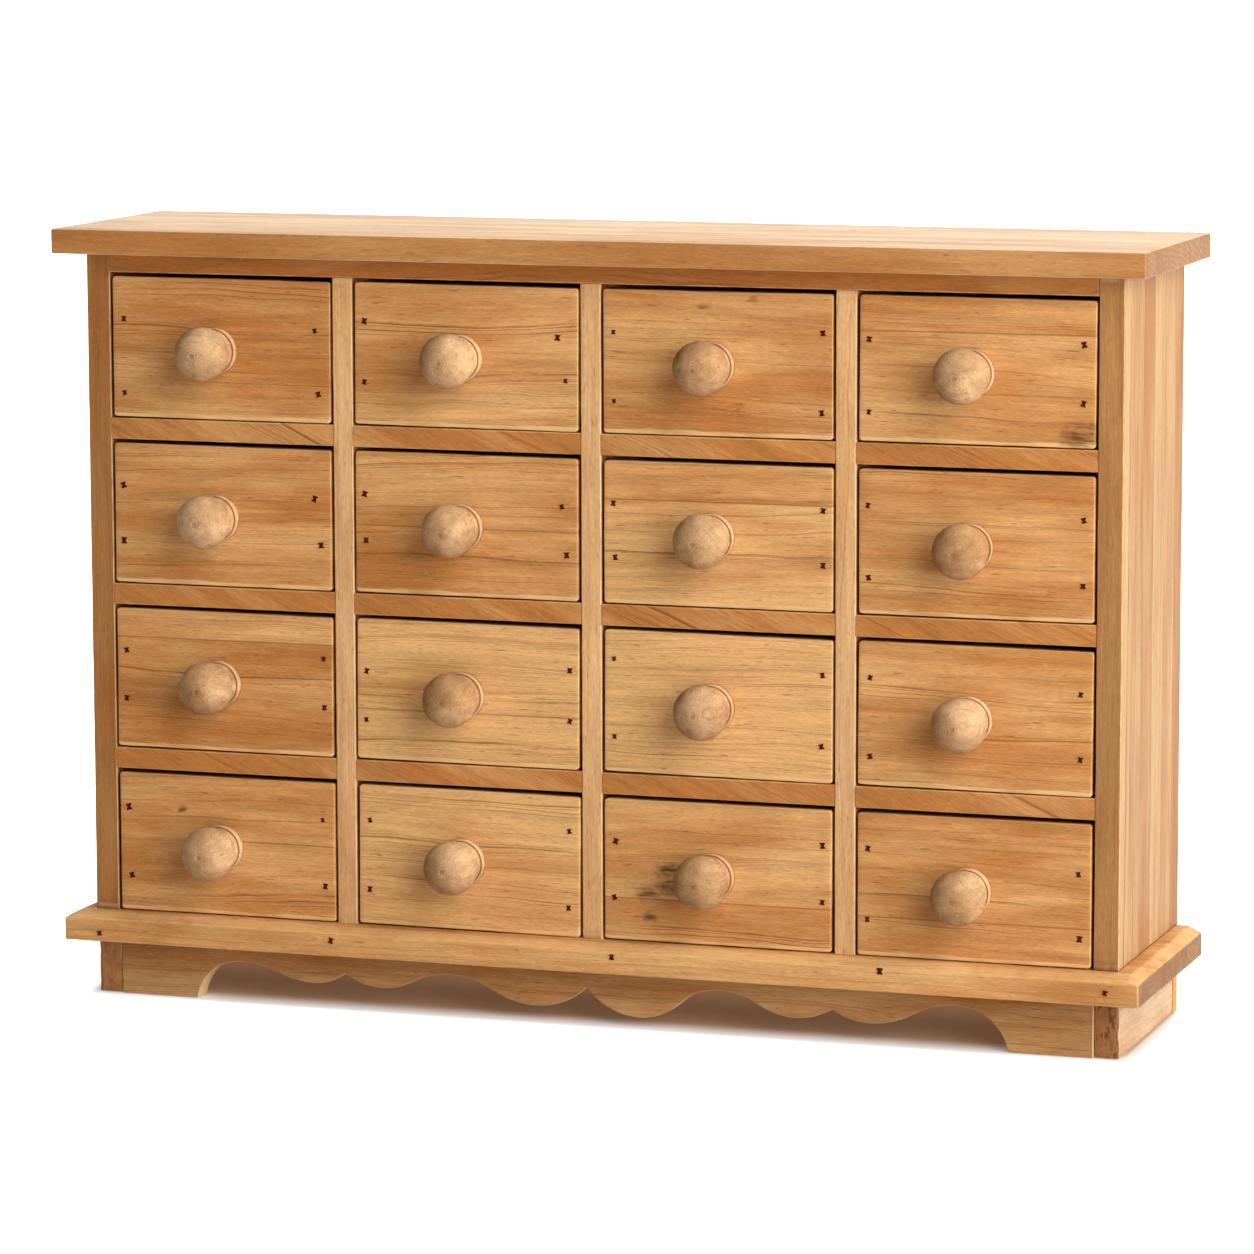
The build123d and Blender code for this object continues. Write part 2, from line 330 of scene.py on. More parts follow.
def makeGapShadeGroup():
    # painted shade in the gaps round the drawers: starts behind the front plane and thins out deeper in
    make = gapShadeMake
    tree, into, out = newGroup(
        "gapPaintedShade", dict(Vector=direction, Plane=number, Depth=number, HalfWidth=number),
        dict(Mask=number))
    apart = split(tree, into["Vector"])
    behind = calc(tree, "SUBTRACT", apart["Y"], into["Plane"])
    patchy = ramp(tree, cloud(tree, into["Vector"], *make["cloud"]), *cloudSpan, *make["patch"])
    starts = ramp(tree, behind, *make["start"])
    ends = ramp(tree, behind, into["Depth"], times(tree, into["Depth"], make["fade"]), 1.0, 0.0)
    inside = calc(tree, "LESS_THAN", calc(tree, "ABSOLUTE", apart["X"]), into["HalfWidth"])
    shaded = times(tree, times(tree, starts, ends), patchy)
    feed(tree, out["Mask"], times(tree, shaded, inside))
    return tree


knotMake = dict(stretch=(0.7, 1.3, 0.0), wobbleCloud=((260, 420, 420), 3.0), wobble=5 * mm, ringBeat=22.0,
                ring=(-0.2, 0.9, -0.75, 0.0), tornCloud=((70, 620, 620), 3.0), torn=(0.38, 0.58, 0.4, 1.0),
                heart=0.25, colour=(74, 37, 16))


def makeKnotGroup():
    # a small branch knot: dark heart, broken rings, pulled out along the grain
    make = knotMake
    tree, into, out = newGroup(
        "branchKnot", dict(Vector=direction, Centre=direction, Size=number, Ringed=number),
        dict(Mask=number))
    vector = into["Vector"]
    away = calcVector(tree, "SUBTRACT", vector, into["Centre"])
    reach = calcVector(tree, "LENGTH", calcVector(tree, "MULTIPLY", away, make["stretch"]))
    wobble = eitherSide(tree, cloud(tree, vector, *make["wobbleCloud"]), make["wobble"])
    share = calc(tree, "DIVIDE", calc(tree, "ADD", reach, wobble), into["Size"])
    rings = ramp(tree, calc(tree, "SINE", times(tree, share, make["ringBeat"])), *make["ring"])
    rings = calc(tree, "MULTIPLY_ADD", rings, into["Ringed"], 1.0)
    torn = ramp(tree, cloud(tree, vector, *make["tornCloud"]), *make["torn"])
    mask = times(tree, ramp(tree, share, 1.0, make["heart"]), rings)
    feed(tree, out["Mask"], times(tree, mask, torn))
    return tree


figureGroup = makeFigureGroup()
stripGroup = makeStripGroup()
frontGroup = makeFrontGroup()
faceGroup = makeFaceGroup()
gapShadeGroup = makeGapShadeGroup()
knotGroup = makeKnotGroup()
print("node groups built")

# woods: colours as read off a screen, spacing of the rings, strength of their lines, and bump
# the rubbed colour is worn wood, and also a painted highlight on arrises and knob rims
waxedPine = dict(pale=(223, 173, 112), warm=(185, 120, 61), late=(122, 68, 30), rubbed=(232, 188, 130),
                 endLine=(130, 76, 36), ringSpacing=3.4 * mm, lineStrength=0.72, bump=0.3)
paleTop = dict(pale=(240, 211, 175), warm=(213, 167, 123), late=(180, 126, 82), rubbed=(240, 212, 172),
               endLine=(136, 82, 42), ringSpacing=4.0 * mm, lineStrength=0.38, bump=0.22)
paleSides = dict(pale=(185, 148, 102), warm=(160, 110, 64), late=(134, 80, 42), rubbed=(232, 196, 150),
                 ringSpacing=2.8 * mm, lineStrength=0.9, bump=0.22)
paleDividers = dict(pale=(228, 181, 128), warm=(197, 142, 87), late=(150, 94, 52), rubbed=(244, 208, 158),
                    ringSpacing=3.4 * mm, lineStrength=0.45, bump=0.25)
barePine = dict(pale=(226, 192, 144), warm=(204, 160, 108), late=(172, 122, 76), rubbed=(234, 208, 166),
                ringSpacing=3.8 * mm, lineStrength=0.45, bump=0.2)
gapShadeColour = (96, 34, 14)
# raw wood of cut faces, painted paler also as if lit
rawCutAndLit = (236, 204, 160)
sawTears = (72, 36, 16)

# turns that lay each board's grain along X of its pattern
grainAlongX = (0.0, 0.0, 0.0)
grainAlongY = (0.0, 0.0, -math.pi / 2)
grainUp = (0.0, math.pi / 2, 0.0)
grainAlongFront = (-math.pi / 2, 0.0, 0.0)
grainSlanted = (-math.pi / 2, 0.0, math.radians(24))


def startMaterial(name):
    made = bpy.data.materials.new(name)
    made.use_nodes = True
    made.node_tree.nodes.clear()
    tree = made.node_tree
    shader = addNode(tree, "ShaderNodeBsdfPrincipled")
    feed(tree, addNode(tree, "ShaderNodeOutputMaterial").inputs["Surface"], shader.outputs[0])
    return made, tree, shader


def objectVector(tree):
    return addNode(tree, "ShaderNodeTexCoord").outputs["Object"]


def turned(tree, vector, turn, place):
    made = addNode(tree, "ShaderNodeMapping")
    feed(tree, made.inputs["Vector"], vector)
    made.inputs["Rotation"].default_value = turn
    made.inputs["Location"].default_value = place
    return made.outputs[0]


def stain(tree, mask, colour, paint):
    # lays a screen colour over another where the mask is
    return blendColour(tree, mask, colour, fromScreen(*paint))


def placeFigure(tree, wood, vector, tone):
    return placeGroup(tree, figureGroup, Vector=vector, Tone=tone, RingSpacing=wood["ringSpacing"],
                      LineStrength=wood["lineStrength"], Pale=fromScreen(*wood["pale"]),
                      Warm=fromScreen(*wood["warm"]), Late=fromScreen(*wood["late"]))


# finish: strength of the pale arrises, worn and a painted highlight, sheen of the wax and reach of the bump
finishMake = dict(arris=0.55, sheen=0.15, bumpReach=0.4 * mm)


def finishWood(tree, shader, colour, figure, wood, arris=finishMake["arris"], shadePlane=None,
               shadeDepth=gapShadeMake["depth"]):
    # arrises rubbed and with a painted highlight, painted shade in the gaps, roughness and bump
    vector = objectVector(tree)
    faces = placeGroup(tree, faceGroup, Vector=vector)
    # pale arrises: wear and a painted highlight
    colour = stain(tree, times(tree, faces["ArrisWearAndHighlight"], arris), colour, wood["rubbed"])
    # painted shade in the gaps, from just behind the front plane
    if shadePlane is not None:
        gapShading = placeGroup(tree, gapShadeGroup, Vector=vector, Plane=shadePlane, Depth=shadeDepth,
                           HalfWidth=gapShadeMake["halfWidth"])
        colour = stain(tree, times(tree, gapShading["Mask"], gapShadeMake["strength"]), colour, gapShadeColour)
    shader.inputs["Specular IOR Level"].default_value = wood.get("sheen", finishMake["sheen"])
    feed(tree, shader.inputs["Base Color"], colour)
    feed(tree, shader.inputs["Roughness"], figure["Roughness"])
    bump = addNode(tree, "ShaderNodeBump")
    bump.inputs["Strength"].default_value = wood["bump"]
    bump.inputs["Distance"].default_value = finishMake["bumpReach"]
    feed(tree, bump.inputs["Height"], figure["Height"])
    feed(tree, shader.inputs["Normal"], bump.outputs[0])


# boards: glued strip seams, sawn-end rings and tears, and painted shade where a board meets the next one
boardMake = dict(seam=0.6, beat=1.95, ringCloud=((0, 70, 70), 2.0), ringWobble=5 * mm,
                 endRing=(0.3, 0.9, 0.0, 0.5), tearCloud=((520, 200, 130), 4.0, 0.65), tear=(0.5, 0.62),
                 seat=(0.4 * mm, 1.4 * mm, 0.65, 0.0))


def boardMaterial(name, wood, turn, place, tone, strips=None, spread=0.0, tintAndShadeByFacing=None, bareCutAndLit=0.0,
                  endRings=None, sawn=0.0, seats=(), gapShading=False):
    make = boardMake
    made, tree, shader = startMaterial(name)
    vector = turned(tree, objectVector(tree), turn, place)
    if strips is None:
        figure = placeFigure(tree, wood, vector, tone)
        colour = figure["Color"]
    else:
        glued = placeGroup(tree, stripGroup, Vector=vector, Width=strips, Spread=spread, Beat=make["beat"])
        vector = glued["Vector"]
        figure = placeFigure(tree, wood, vector, calc(tree, "ADD", glued["Tone"], tone))
        colour = stain(tree, times(tree, glued["Seam"], make["seam"]), figure["Color"], wood["late"])
    # colour multiplied by facing: painted shade on faces the light reaches less, and the darker end grain
    if tintAndShadeByFacing:
        faces = placeGroup(tree, faceGroup, Vector=objectVector(tree))
        for face, paint in tintAndShadeByFacing.items():
            colour = blendColour(tree, faces[face], colour, (*paint, 1.0), "MULTIPLY")
        # cut faces paler: raw wood, and painted light on faces that look neither front nor back
        if bareCutAndLit:
            colour = stain(tree, times(tree, faces["Cut"], bareCutAndLit), colour, rawCutAndLit)
        if endRings:
            heart = calcVector(tree, "LENGTH", calcVector(tree, "MULTIPLY", vector, endRings["flatten"]))
            wobble = times(tree, cloud(tree, vector, *make["ringCloud"]), make["ringWobble"])
            heart = calc(tree, "ADD", wobble, heart)
            arcs = calc(tree, "FRACT", calc(tree, "DIVIDE", heart, endRings["spacing"]))
            arcs = times(tree, ramp(tree, arcs, *make["endRing"]), faces["Sideways"])
            colour = stain(tree, arcs, colour, wood["endLine"])
        if sawn:
            torn = cloud(tree, objectVector(tree), *make["tearCloud"])
            torn = times(tree, ramp(tree, torn, *make["tear"], 0.0, sawn), faces["Front"])
            colour = stain(tree, torn, colour, sawTears)
    # painted shade along the lines where the board meets the next one
    for seat in seats:
        off = calc(tree, "ABSOLUTE", calc(tree, "SUBTRACT", split(tree, objectVector(tree))["Z"], seat))
        colour = stain(tree, ramp(tree, off, *make["seat"]), colour, gapShadeColour)
    # boards round the drawer openings get painted shade in their gaps
    finishWood(tree, shader, colour, figure, wood, shadePlane=frontPlane if gapShading else None)
    return made


def dress(piece, material):
    piece.data.materials.clear()
    piece.data.materials.append(material)


def select(piece):
    if bpy.context.object and bpy.context.object.mode != "OBJECT":
        bpy.ops.object.mode_set(mode="OBJECT")
    bpy.ops.object.select_all(action="DESELECT")
    piece.select_set(True)
    bpy.context.view_layer.objects.active = piece


def settle(piece):
    # moves the place, turn and scale into the mesh
    select(piece)
    bpy.ops.object.transform_apply(location=True, rotation=True, scale=True)


def addBlock(name, low, high):
    bpy.ops.object.select_all(action="DESELECT")
    bpy.ops.mesh.primitive_cube_add(size=1.0, location=(low + high) / 2)
    piece = bpy.context.object
    piece.name = name
    piece.scale = high - low
    settle(piece)
    return piece


def openEdit(piece, kind):
    # edit mode with nothing selected
    select(piece)
    bpy.ops.object.mode_set(mode="EDIT")
    bpy.ops.mesh.select_mode(type=kind)
    bpy.ops.mesh.select_all(action="DESELECT")


def leaveEdit():
    bpy.ops.object.mode_set(mode="OBJECT")


def pickPoints(piece, wanted):
    # selects the vertices that pass the test
    openEdit(piece, "VERT")
    leaveEdit()
    for point in piece.data.vertices:
        point.select = wanted(point.co)
    bpy.ops.object.mode_set(mode="EDIT")


def pickEdges(piece, wanted):
    # selects the edges whose two ends pass the test
    openEdit(piece, "EDGE")
    leaveEdit()
    points = piece.data.vertices
    for edge in piece.data.edges:
        edge.select = wanted(*[points[index].co for index in edge.vertices])
    bpy.ops.object.mode_set(mode="EDIT")


def cutThrough(piece, low, high, spacing, axes=(0, 1, 2)):
    # cuts a piece at even steps on each axis, ready to be worn
    openEdit(piece, "FACE")
    for axis in axes:
        steps = max(1, round((high[axis] - low[axis]) / spacing))
        normal = [float(axis == other) for other in range(3)]
        for step in range(1, steps):
            spot = low.lerp(high, step / steps)
            bpy.ops.mesh.select_all(action="SELECT")
            bpy.ops.mesh.bisect(plane_co=spot, plane_no=normal)
    leaveEdit()


def sideMargin(inset):
    return Vector((inset, inset, 0.0))


def cutBlock(name, low, high, spacing):
    piece = addBlock(name, low, high)
    cutThrough(piece, low, high, spacing)
    return piece


def applyModifier(piece, kind, **settings):
    select(piece)
    made = piece.modifiers.new(kind.lower(), kind)
    for key, value in settings.items():
        setattr(made, key, value)
    bpy.ops.object.modifier_apply(modifier=made.name)


def copyPiece(piece, name):
    made = piece.copy()
    made.data = piece.data.copy()
    made.name = name
    bpy.context.collection.objects.link(made)
    return made


def copyNode(node, name):
    # a copy of a CAD board, merged, with its flat faces joined up again
    made = bpy.data.objects.new(name, frame["nodes"][node].data.copy())
    bpy.context.collection.objects.link(made)
    openEdit(made, "VERT")
    bpy.ops.mesh.select_all(action="SELECT")
    bpy.ops.mesh.remove_doubles(threshold=0.01 * mm)
    bpy.ops.mesh.dissolve_limited(angle_limit=math.radians(1))
    leaveEdit()
    return made


def dropPiece(piece):
    bpy.data.objects.remove(piece, do_unlink=True)


def smooth(piece, degrees=35, flatFaces=False):
    select(piece)
    bpy.ops.object.shade_smooth_by_angle(angle=math.radians(degrees))
    if flatFaces:
        applyModifier(piece, "WEIGHTED_NORMAL", keep_sharp=True)


def wearTexture(name, size, depth):
    made = bpy.data.textures.new(name, "CLOUDS")
    made.noise_scale = size
    made.noise_depth = depth
    return made


handWear = wearTexture("handWear", 14 * mm, 3)
longWave = wearTexture("longWave", 55 * mm, 1)
roughSaw = wearTexture("roughSaw", 3.5 * mm, 2)


def wearDown(piece, texture, strength, where="", level=0.5):
    applyModifier(piece, "DISPLACE", texture=texture, texture_coords="LOCAL", strength=strength,
                  mid_level=level, vertex_group=where)


def easeArrises(piece, width, degrees=40, segments=2):
    applyModifier(piece, "BEVEL", width=width, segments=segments, limit_method="ANGLE",
                  angle_limit=math.radians(degrees))


def standFor(piece, node, body):
    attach(piece, body)
    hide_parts(node)


print("helpers ready")

# drawer fronts: tone of the lower and upper board, height share of the glue line, height shares of the
# nails, and how far in the upper right nail stands
frontLooks = {
    (1, 1): dict(tones=(0.74, 0.82), nails=(0.70, 0.65, 0.17, 0.20), inward=3 * mm),
    (1, 2): dict(tones=(0.42, 0.42), nails=(0.73, 0.65, 0.30, 0.35), inward=5 * mm),
    (1, 3): dict(tones=(0.56, 0.56), nails=(0.70, 0.73, 0.22, 0.18)),
    (1, 4): dict(tones=(0.49, 0.84), joint=0.76, nails=(0.70, 0.70, 0.20, 0.30)),
    (2, 1): dict(tones=(0.62, 0.62), nails=(0.70, 0.65, 0.30, 0.32), inward=4 * mm),
    (2, 2): dict(tones=(0.65, 0.53), joint=0.48, nails=(0.70, 0.66, 0.37, 0.32), inward=2 * mm),
    (2, 3): dict(tones=(0.22, 0.56), joint=0.73, nails=(0.70, 0.70, 0.32, 0.32)),
    (2, 4): dict(tones=(0.61, 0.61), nails=(0.75, 0.70, 0.25, 0.25)),
    (3, 1): dict(tones=(0.70, 0.26), joint=0.80, nails=(0.70, 0.70, 0.35, 0.35)),
    (3, 2): dict(tones=(-0.15, 0.06), joint=0.36, nails=(0.63, 0.70, 0.28, 0.34)),
    (3, 3): dict(tones=(-0.32, -0.32), nails=(0.80, 0.75, 0.25, 0.25)),
    (3, 4): dict(tones=(0.44, 0.44), nails=(0.75, 0.70, 0.20, 0.25)),
    (4, 1): dict(tones=(0.58, 0.58), nails=(0.75, 0.73, 0.25, 0.25)),
    (4, 2): dict(tones=(0.06, 0.06), nails=(0.75, 0.75, 0.25, 0.20)),
    (4, 3): dict(tones=(0.58, 0.38), joint=0.30, nails=(0.70, 0.75, 0.30, 0.35)),
    (4, 4): dict(tones=(0.38, 0.64), joint=0.27, nails=(0.75, 0.65, 0.25, 0.20)),
}
# knots: place as shares of the front's width and height, size, how much its rings show, and how dark it is
frontKnots = {
    (1, 3): [(0.44, 0.90, 3.5 * mm, 0.0, 0.6), (0.66, 0.95, 3.0 * mm, 0.0, 0.5),
             (0.59, 0.21, 3.0 * mm, 0.5, 0.6)],
    (1, 4): [(0.97, 0.10, 12.0 * mm, 0.5, 0.7), (0.91, 0.05, 7.0 * mm, 0.0, 0.6)],
    (4, 1): [(0.29, 0.75, 3.0 * mm, 0.0, 0.8)],
    (4, 3): [(0.29, 0.51, 6.5 * mm, 0.0, 0.95), (0.30, 0.40, 8.0 * mm, 0.3, 0.95),
             (0.19, 0.33, 6.0 * mm, 0.0, 0.8), (0.20, 0.17, 3.5 * mm, 0.0, 0.8)],
}
frontMake = dict(corner=1.35 * mm, arris=0.45 * mm, spacing=2.2 * mm, wear=0.3 * mm, wave=0.25 * mm,
                 tilt=math.radians(0.36), slide=0.2 * mm, lift=-0.15 * mm,
                 logAlong=9.0, logReach=(60 * mm, 190 * mm), logSide=70 * mm, logTurn=0.03,
                 seam=0.5, foot=0.85, rubbed=0.35, shadeStart=0.6 * mm, shadeDepth=40 * mm,
                 seed=5, rowSeed=31, columnSeed=7)


def frontMaterial(place, low, high):
    make = frontMake
    look = frontLooks[place]
    draw = random.Random(make["rowSeed"] * place[0] + make["columnSeed"] * place[1])
    middle = (low + high) / 2
    half = (high.z - low.z) / 2
    made, tree, shader = startMaterial("waxedFront_" + nameOf(place))
    # centred on the front: X along it and Y up it
    local = turned(tree, objectVector(tree), grainAlongFront, (-middle.x, -middle.z, low.y))
    # a front of one board has its joint above it
    joint = (look["joint"] * 2 - 1) * half if "joint" in look else 1.0
    lowerTone, upperTone = look["tones"]
    boards = placeGroup(tree, frontGroup, Vector=local, Joint=joint, UpperTone=upperTone,
                        LowerTone=lowerTone, HalfHeight=half)
    side, turn = make["logSide"], make["logTurn"]
    spot = (draw.uniform(0, make["logAlong"]), draw.uniform(*make["logReach"]), draw.uniform(-side, side))
    lean = (0.0, draw.uniform(-turn, turn), draw.uniform(-turn, turn))
    figure = placeFigure(tree, waxedPine, turned(tree, boards["Vector"], lean, spot), boards["Tone"])
    colour = stain(tree, times(tree, boards["Seam"], make["seam"]), figure["Color"], waxedPine["late"])
    colour = stain(tree, times(tree, boards["Foot"], make["foot"]), colour, waxedPine["rubbed"])
    for across, up, size, ringed, dark in frontKnots.get(place, ()):
        centre = ((across - 0.5) * (high.x - low.x), (up - 0.5) * (high.z - low.z), 0.0)
        knot = placeGroup(tree, knotGroup, Vector=local, Centre=centre, Size=size, Ringed=ringed)
        colour = stain(tree, times(tree, knot["Mask"], dark), colour, knotMake["colour"])
    # arrises rubbed and with a painted highlight, and painted shade on the front's edges in the gaps
    finishWood(tree, shader, colour, figure, waxedPine, make["rubbed"], low.y + make["shadeStart"],
               make["shadeDepth"])
    return made


def modelFront(low, high):
    # one front about the origin: a grid with rounded corners, thickened and eased
    size = high - low
    bpy.ops.object.select_all(action="DESELECT")
    bpy.ops.mesh.primitive_grid_add(x_subdivisions=round(size.x / frontMake["spacing"]),
                                    y_subdivisions=round(size.z / frontMake["spacing"]), size=1.0,
                                    rotation=(math.pi / 2, 0.0, 0.0))
    piece = bpy.context.object
    piece.scale = (size.x, size.z, 1.0)
    settle(piece)
    pickPoints(piece, lambda spot: abs(spot.x) > size.x / 2 - mm and abs(spot.z) > size.z / 2 - mm)
    bpy.ops.mesh.bevel(offset=frontMake["corner"], segments=3, affect="VERTICES")
    leaveEdit()
    applyModifier(piece, "SOLIDIFY", thickness=size.y, offset=-1.0)
    easeArrises(piece, frontMake["arris"], degrees=50, segments=3)
    return piece


draw = random.Random(frontMake["seed"])
pattern = modelFront(*boxOf("drawer_front_r1_c1"))
for place in places:
    name = nameOf(place)
    low, high = boxOf("drawer_front_" + name)
    piece = copyPiece(pattern, "nailedFront_" + name)
    piece.rotation_euler = (0.0, draw.uniform(-0.1, 1.0) * frontMake["tilt"], 0.0)
    piece.location = ((low.x + high.x) / 2 + draw.uniform(-1, 1) * frontMake["slide"], low.y,
                      (low.z + high.z) / 2 + draw.uniform(0, 1) * frontMake["lift"])
    settle(piece)
    wearDown(piece, handWear, frontMake["wear"])
    wearDown(piece, longWave, frontMake["wave"])
    smooth(piece)
    dress(piece, frontMaterial(place, low, high))
    standFor(piece, "drawer_front_" + name, "drawer_" + name)
dropPiece(pattern)
print("drawer fronts done")

# cut nails: the head's size, how far it stands out, its waist, its place in the front, and how uneven it is
nailMake = dict(width=3.0 * mm, height=2.7 * mm, depth=3.0 * mm, proud=0.35 * mm, waist=0.45,
                arris=0.15 * mm, inset=0.046, stray=0.9 * mm, turn=18, size=(0.75, 1.05), squash=(0.85, 1.1),
                iron=(52, 14, 6), rust=(92, 36, 18), rustCloud=((900, 900, 900), 3.0), rustSpan=(0.4, 0.7),
                roughness=(0.65, 0.9), sheen=0.04, seed=23)


def ironMaterial():
    make = nailMake
    made, tree, shader = startMaterial("blackCutNail")
    rust = ramp(tree, cloud(tree, objectVector(tree), *make["rustCloud"]), *make["rustSpan"])
    feed(tree, shader.inputs["Base Color"], stain(tree, rust, fromScreen(*make["iron"]), make["rust"]))
    feed(tree, shader.inputs["Roughness"], ramp(tree, rust, 0.0, 1.0, *make["roughness"], False))
    shader.inputs["Specular IOR Level"].default_value = make["sheen"]
    return made


def modelNail():
    # a sheared head: square, pinched at its waist
    half = Vector((nailMake["width"], nailMake["depth"], nailMake["height"])) / 2
    piece = addBlock("nailPattern", -half, half)
    pickEdges(piece, lambda first, second: abs(first.z - second.z) > mm)
    bpy.ops.mesh.subdivide(number_cuts=1)
    leaveEdit()
    pickEdges(piece, lambda first, second: abs(first.z) < 0.1 * mm and abs(second.z) < 0.1 * mm)
    bpy.ops.transform.resize(value=(nailMake["waist"], 1.0, 1.0))
    leaveEdit()
    easeArrises(piece, nailMake["arris"])
    return piece


def setNails(name, spots, body, draw, outward=-1):
    # copies of the pattern at each spot, joined to one piece; outward is -1 at the front and 1 at the back
    made = []
    for spot in spots:
        nail = copyPiece(nailPattern, name)
        sunk = nailMake["depth"] / 2 - nailMake["proud"]
        nail.location = Vector(spot) - Vector((0.0, outward * sunk, 0.0))
        nail.rotation_euler = (0.0, math.radians(draw.uniform(-nailMake["turn"], nailMake["turn"])), 0.0)
        size = draw.uniform(*nailMake["size"])
        nail.scale = (size, 1.0, size * draw.uniform(*nailMake["squash"]))
        settle(nail)
        made.append(nail)
    select(made[0])
    for nail in made[1:]:
        nail.select_set(True)
    bpy.ops.object.join()
    piece = bpy.context.object
    piece.name = name
    dress(piece, ironNail)
    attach(piece, body)
    return piece


ironNail = ironMaterial()
nailPattern = modelNail()
draw = random.Random(nailMake["seed"])
for place in places:
    name = nameOf(place)
    low, high = boxOf("drawer_front_" + name)
    left = low.x + nailMake["inset"] * (high.x - low.x)
    right = high.x - nailMake["inset"] * (high.x - low.x)
    upperRight = right - frontLooks[place].get("inward", 0.0)
    spots = []
    for side, share in zip((left, upperRight, left, right), frontLooks[place]["nails"]):
        stray = draw.uniform(-nailMake["stray"], nailMake["stray"])
        spots.append((side + stray, low.y, low.z + share * (high.z - low.z)))
    setNails("cutNails_" + name, spots, "drawer_" + name, draw)
print("drawer nails done")


def turnedRings(*pairs):
    # distances behind the ball's middle and radii, given in millimetres
    return [(behind * mm, radius * mm) for behind, radius in pairs]


# knobs: a ball with a flatter front, and behind it a waist, a fine groove and a collar
knobMake = dict(ball=12.6 * mm, front=11.4 * mm, waist=9.4 * mm, slide=0.4 * mm,
                neck=turnedRings((9.6, 9.2), (11.0, 9.35), (12.1, 9.8), (12.8, 10.3)),
                groove=turnedRings((12.8, 9.6), (13.3, 9.6)),
                collar=turnedRings((13.3, 10.4), (13.5, 10.8), (13.9, 11.0), (17.6, 11.0)),
                dimple=0.45 * mm, dimpleWidth=1.6 * mm, segments=64, rings=40, seed=11)
# which knobs are darker than the pale ones, the marks on their wood, and painted shade and highlight on the
# collar
knobLook = dict(tones=dict(pale=0.22, middle=0.42, warm=0.66), toneSpread=0.1,
                middle=[(1, 4), (2, 2), (2, 3), (4, 2), (4, 4)],
                warm=[(1, 3), (2, 4), (3, 1), (3, 2), (3, 3), (4, 3)],
                logSpread=(24 * mm, 3.0, 24 * mm), logStart=(-12 * mm, 0.0, -12 * mm),
                fleckCloud=((420, 230, 420), 2.0), fleck=(0.64, 0.74, 0.0, 0.34), fleckColour=(150, 100, 64),
                mottleCloud=((160, 90, 160), 4.0, 0.6), mottle=(0.34, 0.62, 0.87, 1.05),
                ringCloud=((260, 260, 260), 2.0), ringWobble=1.2 * mm, ringSpacing=1.3 * mm,
                ringLine=(0.1, 1.0), ringFade=(1.0 * mm, 6.0 * mm, 0.4, 0.0),
                centreMark=(0.3 * mm, 1.3 * mm, 0.6, 0.0), centreColour=(128, 82, 50),
                grooveEdge=0.2 * mm, grooveShade=0.85, grooveShadeColour=(122, 78, 44),
                rimWearAndHighlight=(0.2 * mm, 0.8 * mm), rimFade=(-3.0 * mm, -1.8 * mm), rimStrength=0.7,
                seat=(-0.9 * mm, -0.1 * mm), seatDirtAndShade=0.7, seatDirtAndShadeColour=(84, 48, 24),
                wood=dict(pale=(212, 173, 130), warm=(174, 130, 88), late=(116, 72, 40),
                          rubbed=(222, 186, 140), ringSpacing=2.6 * mm, lineStrength=0.55,
                          bump=0.25, sheen=0.0))


def ballMiddle(node):
    low, high = boxOf(node)
    across = (low.x + high.x) / 2 + knobMake["slide"]
    return Vector((across, low.y + knobMake["front"], (low.z + high.z) / 2))


